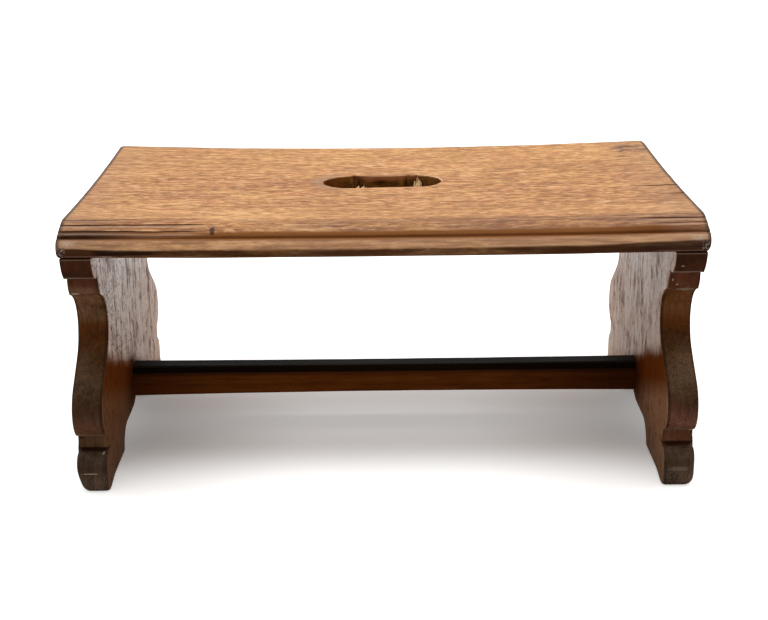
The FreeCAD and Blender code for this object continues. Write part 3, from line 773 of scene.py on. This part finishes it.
    # Inside the slot: dark sawn walls, lighter towards the top, with torn wood at the back
    inside = away.rise(0.0478, 0.0468) * f.y.rise(-0.0050, -0.0035) * f.y.rise(0.0460, 0.0445)
    sunk = inside * (height - 0.0157).rise(0.0004, -0.0008)
    sawn = f.cloud((60.0, 260.0, 150.0), 3.0, 0.6, shift=41.0) * 1.6 + height * 26.0 - 0.72
    sawn = f.blend(sawn.rise(0.05, 0.75), (0.024, 0.007, 0.001), (0.175, 0.062, 0.012))
    ragged = f.cloud((70.0, 70.0, 300.0), 3.0, 0.65, shift=61.0)
    rounded = (height + (ragged - 0.5) * 0.006 + away * 0.03).rise(0.0122, 0.0150) * back_rim
    for mask, tint in (
            (f.x.rise(-0.024, -0.033) * 0.60, (0.120, 0.029, 0.003)),
            (f.x.near(-0.024, 0.018) * grit.rise(0.58, 0.68) * 0.45, (0.300, 0.190, 0.080)),
            (rounded * (0.25 + nicks * 0.6), (0.340, 0.112, 0.045)),
            (f.x.near(-0.0200, 0.0070) * back_rim * 0.75, (0.012, 0.004, 0.001))):
        sawn = f.blend(mask, sawn, tint)
    f.lay(sunk * 0.97, sawn)
    # Cracks, a dent and torn fibres
    crack = lip = None
    for place, left, right, half in SEAT_CRACKS:
        wobble = f.cloud((14.0, 4.0, 4.0), 3.0, 0.6, shift=place * 0.37) - 0.5
        off = f.y - place * MM + wobble * 0.0030
        taper = f.x.rise(left * MM, left * MM + 0.02) * f.x.rise(right * MM, right * MM - 0.02)
        line = (abs(off) / (half * MM)).rise(2.4, 0.9) * taper
        raised = off.near(-0.0019 - half * MM, 0.0014) * taper
        crack = line if crack is None else crack.most(line)
        lip = raised if lip is None else lip.most(raised)
    crack = crack * top
    f.lay(lip * front * top * 0.32, (0.60, 0.40, 0.28))
    f.lay(crack * 0.95, (0.042, 0.014, 0.005))
    dent = oval((f.x, -0.1206, 0.0019), (f.y, -0.1290, 0.0036))
    dent = (dent + (nicks - 0.5) * 2.6).rise(1.3, 0.4) * height.rise(0.0128, 0.0137)
    f.lay(dent * 0.90, (0.030, 0.012, 0.006))
    worn = f.mark("arris")
    torn = worn.rise(1.2, 1.8)
    rubbed = worn.least(1.0) * (1.0 - torn)
    f.lay(rubbed * nicks.rise(0.36, 0.60) * 0.45, (0.115, 0.070, 0.045))
    f.lay(rubbed * nicks.rise(0.58, 0.70) * 0.55, (0.46, 0.31, 0.20))
    strands = f.cloud((900.0, 900.0, 110.0), 2.0, 0.6, shift=51.0).rise(0.36, 0.54)
    f.lay(torn, f.blend(strands, (0.150, 0.068, 0.022), (0.90, 0.60, 0.31)))
    # A dull polish, which the dark hollows have lost
    hollow = sunk.most(quirk * 0.8).most(below * 0.9).most(crack)
    f.feed(f.shader.inputs["Coat Weight"], (0.50 - front * 0.18) * (1.0 - hollow))
    rough = 0.52 + (flecks - 0.5) * 0.25 + front * 0.06 + below * 0.1
    relief = flecks * 0.5 + fibres * 0.30 + streaks * 0.3 - pores * 0.3
    relief = relief - crack * 2.2 - dent * 2.5 + blots * 0.12
    return f.finish(rough, relief, 0.6, 0.0006, IOR=1.45, Specular_IOR_Level=0.0,
                    Coat_Roughness=0.5, Coat_IOR=1.5)


# Small marks on the legs' fronts, in millimetres: x, z, half width, half height; light or dark.
# Most are chips and scratches; two light ones are painted highlights
LEFT_MARKS = (
    # A painted highlight on the arris at the foot of the fascia
    (-223.4, 147.2, 3.6, 0.7, 1.0),
    (-227.2, 41.3, 1.1, 0.9, 0.8),
    (-225.6, 39.0, 3.2, 0.9, -1.0),
    (-207.8, 29.2, 1.0, 0.8, 0.9),
    (-218.0, 15.3, 7.2, 0.50, 0.9),
)
RIGHT_MARKS = (
    (210.8, 169.9, 1.2, 0.7, 0.8),
    (207.8, 154.4, 0.5, 1.3, 0.9),
    (211.4, 150.3, 1.1, 0.6, 0.8),
    # A painted highlight in the cove under the fascia
    (218.8, 144.5, 8.0, 2.6, 0.42),
    (225.6, 40.3, 1.2, 0.8, 1.0),
    (216.0, 14.4, 8.5, 2.2, 0.22),
)


def leg_finish(name, marks, shift, foot_colour, pale_from, flush):
    """Dark brown stained wood with upright grain, its inner face still under old varnish.

    The arris beside the inner face is pale from one height up, and flush, from 0 to 1, says how
    red the lower front is.
    """
    f = Finish(name)
    sway = f.cloud((9.0, 9.0, 6.0), 2.0, 0.5, shift=shift) - 0.5
    grain = f.vector(f.x + sway * 0.004, f.y + sway * 0.006, f.z)
    streaks = f.cloud((240.0, 240.0, 12.0), 4.0, 0.6, grain, shift + 1.0)
    fibres = f.cloud((800.0, 800.0, 60.0), 3.0, 0.6, grain, shift + 2.0)
    patches = f.cloud((26.0, 26.0, 34.0), 3.0, 0.6, f.place, shift + 5.0)
    specks = f.cloud((520.0, 520.0, 420.0), 3.0, 0.65, f.place, shift + 8.0)
    grit = f.cloud((1000.0, 1000.0, 900.0), 2.0, 0.6, f.place, shift + 9.0)
    worn = f.mark("arris")
    # From the toe up: foot, neck, belly, waist, fascia, cap
    f.colour = f.add("ValToRGB", {"stops": (
        (0.000, (0.056, 0.031, 0.018)),
        (0.045, (0.066, 0.039, 0.024)),
        (0.080, (0.056, 0.031, 0.018)),
        (0.110, (0.044, 0.023, 0.013)),
        (0.165, (0.058, 0.036, 0.022)),
        (0.175, (0.084, 0.041, 0.017)),
        (0.235, (0.080, 0.038, 0.016)),
        (0.300, (0.062, 0.027, 0.013)),
        (0.350, (0.043, 0.017, 0.0070)),
        (0.385, (0.048, 0.021, 0.0090)),
        (0.415, (0.068, 0.034, 0.0155)),
        (0.450, (0.081, 0.042, 0.0195)),
        (0.500, (0.078, 0.0365, 0.0148)),
        (0.540, (0.067, 0.0280, 0.0090)),
        (0.585, (0.054, 0.0160, 0.0018)),
        (0.615, (0.060, 0.0165, 0.0016)),
        (0.640, (0.076, 0.0200, 0.0028)),
        (0.665, (0.096, 0.0300, 0.0062)),
        (0.715, (0.100, 0.0350, 0.0095)),
        (0.780, (0.096, 0.0340, 0.0095)),
        (0.830, (0.064, 0.018, 0.0070)),
        (0.895, (0.062, 0.018, 0.0075)),
        (0.905, (0.034, 0.0095, 0.0030)))}, {"Fac": f.z / (SEAT_UNDERSIDE * MM)})
    granular = f.z.rise(0.112, 0.086) * (0.3 + flush * 0.4) + 0.3
    fine = (specks * 0.6 + grit - 0.8) * granular
    tone = streaks * 1.5 + fibres * 1.3 + patches * 1.4 + fine * 1.2 - 1.1
    grained = tone.most(0.30)
    f.colour = f.shade(f.colour, grained)
    dusty = f.z.rise(0.115, 0.124) * f.z.rise(0.156, 0.150) * (0.45 - flush * 0.40)
    f.lay(dusty, f.shade((0.145, 0.088, 0.050), grained))
    flushed = f.z.near(0.0520, 0.0170) * flush
    f.lay(flushed * 0.80, f.shade((0.118, 0.044, 0.028), grained))
    flushed = f.z.near(0.0360, 0.0080) * flush
    f.lay(flushed * 0.80, f.shade((0.094, 0.028, 0.0105), grained))
    grains = f.z.near(0.0890, 0.0200) * grit.rise(0.52, 0.64)
    f.lay(grains * 0.40 * flush, (0.150, 0.115, 0.082))
    grey = f.cloud((60.0, 60.0, 60.0), 4.0, 0.7, f.place, shift + 12.0).rise(0.50, 0.74)
    f.lay(grey * f.z.rise(0.085, 0.055) * (0.15 + flush * 0.15), (0.082, 0.066, 0.050))
    # The outer face is one even brown
    away = abs(f.x)
    outer_face = away.rise(0.2263, 0.2270)
    f.lay(outer_face * 0.92, f.shade((0.066, 0.029, 0.0125), grained))
    # Inner face: reddish brown, with a glossy varnish that is pitted and dull lower down, and
    # painted reflection and painted shadow laid into its colour
    inner = away.rise(0.2054, 0.2049)
    elsewhere = 1.0 - inner
    tame = 0.60 + tone * 0.40
    bare = f.shade((0.128, 0.0300, 0.0050), tame)
    level = f.z + f.y * 0.377
    # Lower down the colour turns paler and greyer: partly the wood, partly painted reflection of
    # the shaded floor
    bare = f.blend(level.rise(0.037, 0.013) * 0.90, bare, f.shade(foot_colour, tame))
    bare = f.blend(f.z.rise(0.045, 0.008) * 0.50, bare, (0.150, 0.095, 0.068))
    # A painted shadow on the inner face round the stretcher
    stretcher_shadow = abs(f.y).rise(0.050, 0.015) * f.z.rise(0.074, 0.052) * f.z.rise(0.012, 0.030)
    bare = f.blend(stretcher_shadow * 0.70, bare, (0.036, 0.0080, 0.0024))
    f.lay(inner, bare)
    scuff = f.cloud((150.0, 75.0, 20.0), 5.0, 0.68, grain, shift + 15.0)
    haze = f.cloud((60.0, 70.0, 60.0), 3.0, 0.6, f.place, shift + 19.0)
    speckle = f.cloud((620.0, 170.0, 360.0), 3.0, 0.7, f.place, shift + 17.0)
    ticks = f.cloud((620.0, 200.0, 130.0), 2.0, 0.6, grain, shift + 23.0)
    far = f.y.rise(-0.060, 0.090)
    upper = (level + (haze - 0.5) * 0.012 - flush * 0.002 + far * flush * 0.007).rise(0.046, 0.063)
    near_top = f.y.rise(-0.020, -0.085) * f.z.rise(0.085, 0.135)
    pits = (speckle + near_top * 0.035 - far * 0.045).rise(0.53, 0.62) * (1.1 - flush * 0.6)
    gloss = (scuff * 1.3 + haze * 0.8 + speckle * 0.6 + ticks * 0.9 - 1.30).rise(0.05, 0.70)
    rising = 0.50 + f.z.rise(0.06, 0.17) * 0.26 + far * f.z.rise(0.09, 0.16) * 0.24
    fade = 1.0 - (0.08 + f.y.rise(-0.020, -0.090) * 0.13) * flush
    fade = fade + f.z.rise(0.12, 0.16) * (0.15 - flush * 0.15)
    coat = upper * (rising * (0.30 + gloss * 0.94) * fade - pits * 0.40)
    coat = (coat * inner + elsewhere * 0.08).least(1.0).most(0.0)
    # Painted reflection of the white room in the varnish, laid pale into the colour of the upper
    # inner face
    painted_sheen = inner * upper * (gloss * 0.6 + haze * 0.3).rise(0.10, 0.66)
    sheen_tint = f.blend(scuff.rise(0.42, 0.60), (0.48, 0.240, 0.115), (0.57, 0.360, 0.215))
    f.lay((painted_sheen * (0.74 + far * 0.12) * fade).least(1.0), sheen_tint)
    pale_sheen = inner * upper * f.z.rise(0.115, 0.160) * (0.12 - flush * 0.11)
    f.lay(pale_sheen, (0.72, 0.58, 0.50))
    f.lay(inner * (1.0 - upper) * ticks.rise(0.54, 0.66) * 0.45, (0.050, 0.020, 0.008))
    f.lay(inner * upper * pits * 0.70, (0.060, 0.026, 0.014))
    f.feed(f.shader.inputs["Coat Weight"], coat)
    # Dark worn arrises, pale ones under the cap and on the toes, a black line above the foot, and
    # over the neck a pale line along the belly's lower edge, a painted highlight
    inner_half = away.rise(0.2085, 0.2070)
    high = f.z.rise(0.158, 0.1625).most(inner_half * f.z.rise(pale_from, pale_from + 0.004))
    high = high * f.y.rise(0.020, -0.020)
    pale_arris = (high + f.z.rise(0.0445, 0.0425) * f.z.rise(0.0375, 0.0395)).least(1.0)
    dark_arris = 1.0 - pale_arris
    shade_strip = away.rise(0.2082, 0.2062) * elsewhere * dark_arris * f.z.rise(0.034, 0.050)
    f.lay(shade_strip * (0.55 + flush * 0.15), (0.016, 0.0060, 0.0024))
    f.lay(worn * dark_arris * 0.78, (0.018, 0.0075, 0.0035))
    light = worn * pale_arris * specks.rise(0.34, 0.54)
    f.lay(light * 0.72, (0.225, 0.150, 0.115))
    outside = abs(f.y - 0.0006).rise(0.118, 0.122)
    crevice = outside * (f.z + (patches - 0.5) * 0.001).near(CREVICE * MM, 0.0011)
    dark = (0.026, 0.0050, 0.0014) if flush > 0.5 else (0.016, 0.0060, 0.0028)
    f.lay((crevice * 1.6).least(0.80), dark)
    lip = outside * f.z.near(LIP * MM, 0.0034) * elsewhere
    f.lay(lip * (0.60 - flush * 0.25), (0.16, 0.10, 0.075))
    edge = outside * f.z.near(CAP_EDGE * MM, 0.0016) * elsewhere
    f.lay(edge * 0.60, (0.190, 0.125, 0.095))
    toe = f.z.rise(0.015, 0.012) * outside * elsewhere
    f.lay(toe * grit.rise(0.50, 0.66) * 0.42, (0.150, 0.106, 0.078))
    front = f.y.rise(-0.100, -0.104)
    # Chips, scratches and the two painted highlights from the tables
    for x, z, wide, high, tint in marks:
        spot = oval((f.x, x * MM, wide * MM), (f.z, z * MM, high * MM))
        spot = (spot + (specks - 0.5) * 2.2).rise(1.1, 0.3) * front * abs(tint)
        f.lay(spot * 0.8, (0.34, 0.26, 0.20) if tint > 0 else (0.004, 0.002, 0.001))
    ledge = f.z.near(LEDGE * MM, 0.0008) * elsewhere
    f.lay(ledge * 0.50, (0.190, 0.110, 0.075))
    relief = streaks * 0.4 + fibres * 0.3 + specks * 0.5 + grit * 0.3 - inner * upper * pits * 0.5
    rough = 0.50 + (streaks - 0.5) * 0.3 + grey * 0.1
    return f.finish(rough, relief, 0.5, 0.0007, IOR=1.45, Specular_IOR_Level=0.0,
                    Coat_Roughness=0.21, Coat_IOR=1.5)


def stretcher_finish():
    """The same dark stain with the grain lengthwise, with painted shade that is nearly black on
    the chamfers.
    """
    f = Finish("stretcher_wood")
    streaks = f.cloud((9.0, 260.0, 260.0), 4.0, 0.6, f.place, 81.0)
    fibres = f.cloud((50.0, 800.0, 800.0), 3.0, 0.6, f.place, 82.0)
    patches = f.cloud((20.0, 60.0, 60.0), 3.0, 0.6, f.place, 85.0)
    specks = f.cloud((420.0, 420.0, 320.0), 3.0, 0.6, f.place, 88.0)
    worn = f.mark("arris")
    tone = streaks * 0.6 + fibres * 0.35 + patches * 0.45 - 0.20
    f.colour = f.add("ValToRGB", {"stops": (
        (0.30, (0.044, 0.0100, 0.0010)),
        (0.50, (0.092, 0.0230, 0.0026)),
        (0.72, (0.130, 0.0360, 0.0060)))}, {"Fac": tone})
    ends = abs(f.x + 0.02).rise(0.10, 0.22)
    f.lay(ends * 0.62, (0.022, 0.0045, 0.0010))
    # Painted shade under the seat: darker up the front, nearly black on the chamfer, and a dark
    # grey top that is painted shade with a dull painted reflection
    shade_level = f.z + (streaks - 0.5) * 0.0015
    f.lay(shade_level.rise(0.0414, 0.0456) * 0.55, (0.012, 0.004, 0.0015))
    f.lay(shade_level.rise(0.0456, 0.0466) * 0.92, (0.0028, 0.0016, 0.0010))
    f.lay(f.z.rise(0.0497, 0.0504) * 0.9, (0.0160, 0.0130, 0.0085))
    f.lay(abs(f.z - 0.0485).rise(0.0022, 0.0) * 0.20, (0.016, 0.010, 0.006))
    light = worn * specks.rise(0.46, 0.62) * f.z.rise(0.0484, 0.0494)
    f.lay(light * 0.16, (0.085, 0.055, 0.034))
    relief = streaks * 0.5 + fibres * 0.4
    rough = 0.46 + (streaks - 0.5) * 0.3
    return f.finish(rough, relief, 0.35, 0.0005, IOR=1.45, Specular_IOR_Level=0.02)


def cleat_finish():
    """Plain sawn wood, darkened with age, with saw marks across it."""
    f = Finish("sawn_cleat_wood")
    streaks = f.cloud((260.0, 9.0, 260.0), 4.0, 0.6, shift=2.0)
    fibres = f.cloud((900.0, 40.0, 900.0), 3.0, 0.6, shift=4.0)
    saw = ((f.y + (fibres - 0.5) * 0.0012) * 3400.0).sum("SINE") * 0.5 + 0.5
    patches = f.cloud((40.0, 25.0, 40.0), 3.0, 0.6, shift=9.0)
    tone = streaks * 0.5 + fibres * 0.25 + patches * 0.35 - 0.05
    f.colour = f.add("ValToRGB", {"stops": (
        (0.30, (0.070, 0.036, 0.017)),
        (0.55, (0.140, 0.078, 0.038)),
        (0.75, (0.220, 0.130, 0.068)))}, {"Fac": tone})
    relief = streaks * 0.4 + fibres * 0.4 + saw * 0.35
    return f.finish(0.62 + (streaks - 0.5) * 0.2, relief, 0.5, 0.0005, IOR=1.45)


def screw_finish():
    """Old steel: dull grey, with brown rust spots."""
    f = Finish("aged_screw_steel")
    spots = f.cloud((900.0, 900.0, 900.0), 4.0, 0.65, shift=3.0).rise(0.48, 0.68)
    fine = f.cloud((2600.0, 2600.0, 2600.0), 3.0, 0.6, shift=6.0)
    f.colour = f.blend(spots, (0.30, 0.29, 0.28), (0.085, 0.038, 0.018))
    f.feed(f.shader.inputs["Metallic"], 1.0 - spots * 0.8)
    return f.finish(0.38 + spots * 0.35, fine * 0.5 + spots * 0.6, 0.4, 0.0003)


# Room


def make_floor():
    """A wide white floor that keeps the stool's shadow."""
    mesh = bmesh.new()
    bmesh.ops.create_grid(mesh, x_segments=1, y_segments=1, size=6.0)
    floor = put("floor", settle(mesh, "floor"))
    f = Finish("white_floor")
    # The backdrop is white to the camera, and the shadow under the stool stays. The glow is
    # painted light that the camera alone sees: it whitens the floor round the stool and lightens
    # the middle of the shadow
    path = f.add("LightPath", out="Is Camera Ray")
    middle = abs(f.x).rise(0.20, 0.04)
    ahead = f.y.rise(-0.045, -0.150) * (0.46 + middle * 0.26)
    beside = abs(f.x).rise(0.219, 0.234) * 0.50
    behind = f.y.rise(0.075, 0.150) * 0.45
    glow = (middle * 0.12 + ahead).most(beside).most(behind) + f.x.rise(0.04, 0.20) * 0.03 + 0.085
    f.feed(f.shader.inputs["Base Color"], (0.93, 0.925, 0.915))
    f.feed(f.shader.inputs["Roughness"], 1.0)
    f.feed(f.shader.inputs["Specular IOR Level"], 0.0)
    f.feed(f.shader.inputs["Emission Color"], f.shade((1.0, 0.99, 0.975), path * glow))
    f.feed(f.shader.inputs["Emission Strength"], 1.0)
    floor.data.materials.append(f.material)


def make_light():
    """A white room: even light from all round, and a wide soft lamp overhead."""
    world = bpy.data.worlds.new("white_room")
    bpy.context.scene.world = world
    world.use_nodes = True
    tree = world.node_tree
    back = tree.nodes["Background"]
    back.inputs["Color"].default_value = (1.0, 1.0, 1.0, 1.0)
    path = tree.nodes.new("ShaderNodeLightPath")
    seen = path.outputs["Is Camera Ray"]
    for ray in ("Is Glossy Ray", "Is Transmission Ray"):
        either = tree.nodes.new("ShaderNodeMath")
        either.operation = "MAXIMUM"
        tree.links.new(seen, either.inputs[0])
        tree.links.new(path.outputs[ray], either.inputs[1])
        seen = either.outputs[0]
    level = tree.nodes.new("ShaderNodeMapRange")
    level.inputs["To Min"].default_value = 0.75
    level.inputs["To Max"].default_value = 1.0
    tree.links.new(seen, level.inputs["Value"])
    tree.links.new(level.outputs[0], back.inputs["Strength"])
    lamp = bpy.data.lights.new("overhead_lamp", "AREA")
    lamp.shape = "RECTANGLE"
    lamp.size = 1.7
    lamp.size_y = 1.1
    lamp.energy = 13.0
    holder = put("overhead_lamp", lamp)
    spot = Vector((0.0, 0.30, 1.55))
    aim = Vector((0.0, 0.0, 0.12)) - spot
    turn = aim.to_track_quat("-Z", "Y").to_matrix().to_4x4()
    holder.matrix_world = Matrix.Translation(spot) @ turn


def make_camera():
    """The photograph's viewpoint: in front of the stool, a little above it."""
    data = bpy.data.cameras.new("camera")
    data.sensor_fit = "HORIZONTAL"
    data.sensor_width = 36.0
    data.lens = 68.706
    data.clip_start = 0.05
    data.clip_end = 50.0
    camera = put("camera", data)
    pitch, turn, lean = math.radians(18.1327), math.radians(0.0932), math.radians(0.5907)
    ahead = Vector((
        math.sin(turn) * math.cos(pitch), math.cos(turn) * math.cos(pitch), -math.sin(pitch)))
    level = Vector((math.cos(turn), -math.sin(turn), 0))
    down = ahead.cross(level)
    right = level * math.cos(lean) + down * math.sin(lean)
    down = down * math.cos(lean) - level * math.sin(lean)
    axes = Matrix((right, -down, -ahead)).transposed().to_4x4()
    camera.matrix_world = Matrix.Translation((-1.778 * MM, -1126.447 * MM, 463.78 * MM)) @ axes
    bpy.context.scene.camera = camera


def give_finish(node, material):
    """Put a finish on a CAD node that keeps its own shape."""
    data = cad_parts[node].data
    data.materials.clear()
    data.materials.append(material)
    for polygon in data.polygons:
        polygon.material_index = 0


def main():
    make_camera()
    make_light()
    make_floor()
    make_seat(seat_finish())
    left_wood = leg_finish("left_leg_wood", LEFT_MARKS, 1.0, (0.165, 0.073, 0.034), 0.158, 0.2)
    right_wood = leg_finish("right_leg_wood", RIGHT_MARKS, 41.0, (0.275, 0.138, 0.074), 0.136, 1.0)
    make_leg("left_leg", "left_board_leg", left_wood)
    make_leg("right_leg", "right_board_leg", right_wood)
    make_stretcher(stretcher_finish())
    cleat = cleat_finish()
    make_cleat("left_cleat", "left_batten", cleat)
    make_cleat("right_cleat", "right_batten", cleat)
    give_finish("tenon_wedges", cleat)
    give_finish("cleat_screws", screw_finish())
    scene = bpy.context.scene
    scene.view_settings.view_transform = "Standard"


main()
